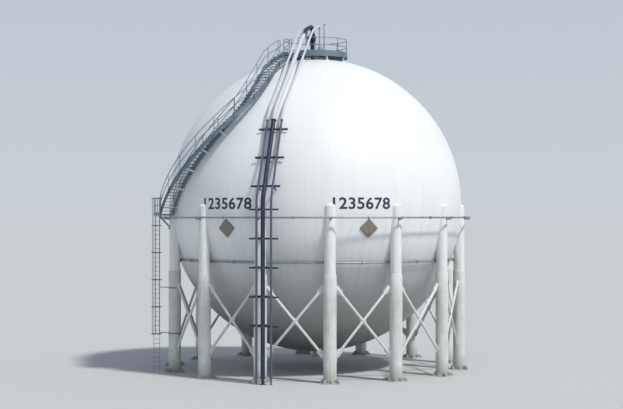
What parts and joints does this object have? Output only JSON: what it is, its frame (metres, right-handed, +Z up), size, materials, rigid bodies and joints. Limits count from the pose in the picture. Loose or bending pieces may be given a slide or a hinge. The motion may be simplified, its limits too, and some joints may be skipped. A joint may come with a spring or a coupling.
{
  "type": "spherical gas tank",
  "caption": "Spherical pressure tank for liquefied gas on braced tubular legs, with deluge rings, riser pipes, a stair around the shell and a railed top deck.",
  "frame": {"origin": "on the ground under the middle of the structure's bounding box", "axes": "+Z up, -Y towards the viewer of the picture, +X to the picture's right"},
  "size_m": [21.3815, 21.1196, 23.28],
  "materials": {
    "shell": "white semi-gloss paint, slightly weathered",
    "leg": "white paint above, painted concrete fireproofing below",
    "brace": "pale grey paint",
    "deluge_pipe": "galvanised pipe, dull grey",
    "galvanised_steel": "weathered galvanised steel and grating",
    "nozzle": "pale grey paint",
    "riser_main": "dark navy paint",
    "riser_side": "slate blue paint",
    "riser_slope": "pale grey paint"
  },
  "bodies": {
    "root": {"shell_bottom_crown": "shell", "shell_lower_course": "shell", "shell_equator_course": "shell", "shell_upper_course": "shell", "shell_top_crown": "shell", "leg_01": "leg", "leg_02": "leg", "leg_03": "leg", "leg_04": "leg", "leg_05": "leg", "leg_06": "leg", "leg_07": "leg", "leg_08": "leg", "leg_09": "leg", "leg_10": "leg", "leg_11": "leg", "leg_12": "leg", "leg_13": "leg", "leg_14": "leg", "brace_01": "brace", "brace_02": "brace", "brace_03": "brace", "brace_04": "brace", "brace_05": "brace", "brace_06": "brace", "brace_07": "brace", "brace_08": "brace", "brace_09": "brace", "brace_10": "brace", "brace_11": "brace", "brace_12": "brace", "brace_13": "brace", "brace_14": "brace", "upper_deluge_ring": "deluge_pipe", "lower_deluge_ring": "deluge_pipe", "stair_flight_1": "galvanised_steel", "stair_flight_2": "galvanised_steel", "stair_flight_3": "galvanised_steel", "stair_handrail_left": "galvanised_steel", "stair_handrail_right": "galvanised_steel", "stair_landing": "galvanised_steel", "landing_railing": "galvanised_steel", "access_ladder": "galvanised_steel", "ladder_cage": "galvanised_steel", "top_deck": "galvanised_steel", "top_deck_railing": "galvanised_steel", "top_manway": "nozzle", "bottom_nozzle": "nozzle", "bottom_manway": "nozzle", "relief_valve_1": "nozzle", "relief_valve_2": "nozzle", "riser_main": "riser_main", "riser_left": "riser_side", "riser_right": "riser_side", "riser_crown_valve": "riser_main", "riser_main_slope": "riser_slope", "riser_left_slope": "riser_slope", "riser_right_slope": "riser_slope"}
  },
  "joints": []
}
